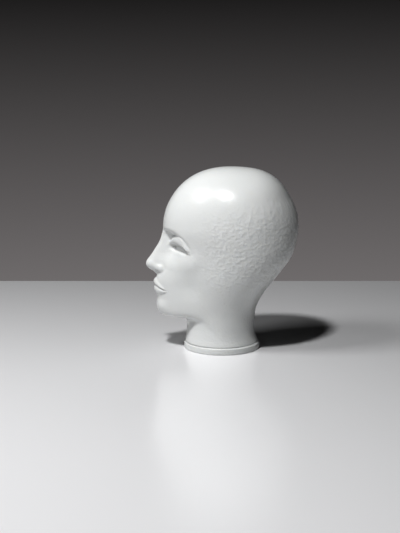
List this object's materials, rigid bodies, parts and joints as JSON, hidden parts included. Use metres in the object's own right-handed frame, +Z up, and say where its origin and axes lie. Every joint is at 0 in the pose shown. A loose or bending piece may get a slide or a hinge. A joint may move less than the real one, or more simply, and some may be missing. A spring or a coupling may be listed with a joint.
{
  "type": "display head",
  "caption": "Life-size hollow display head of white opal glass with a moulded face, blank eyes, no ears, and a short neck ending in the foot ring it stands on",
  "frame": {"origin": "centre of the foot's underside, on the surface the head stands on, under the middle of its overall length", "axes": "+Z up through the neck to the crown, -Y the way the face looks, +X the head's own left side"},
  "size_m": [0.1562, 0.2254, 0.27],
  "materials": {
    "opal_glass": "opaque white opal glass, glossy, finely hammered over the sides and back of the skull"
  },
  "bodies": {
    "root": {"glass_head": "opal_glass"}
  },
  "joints": []
}
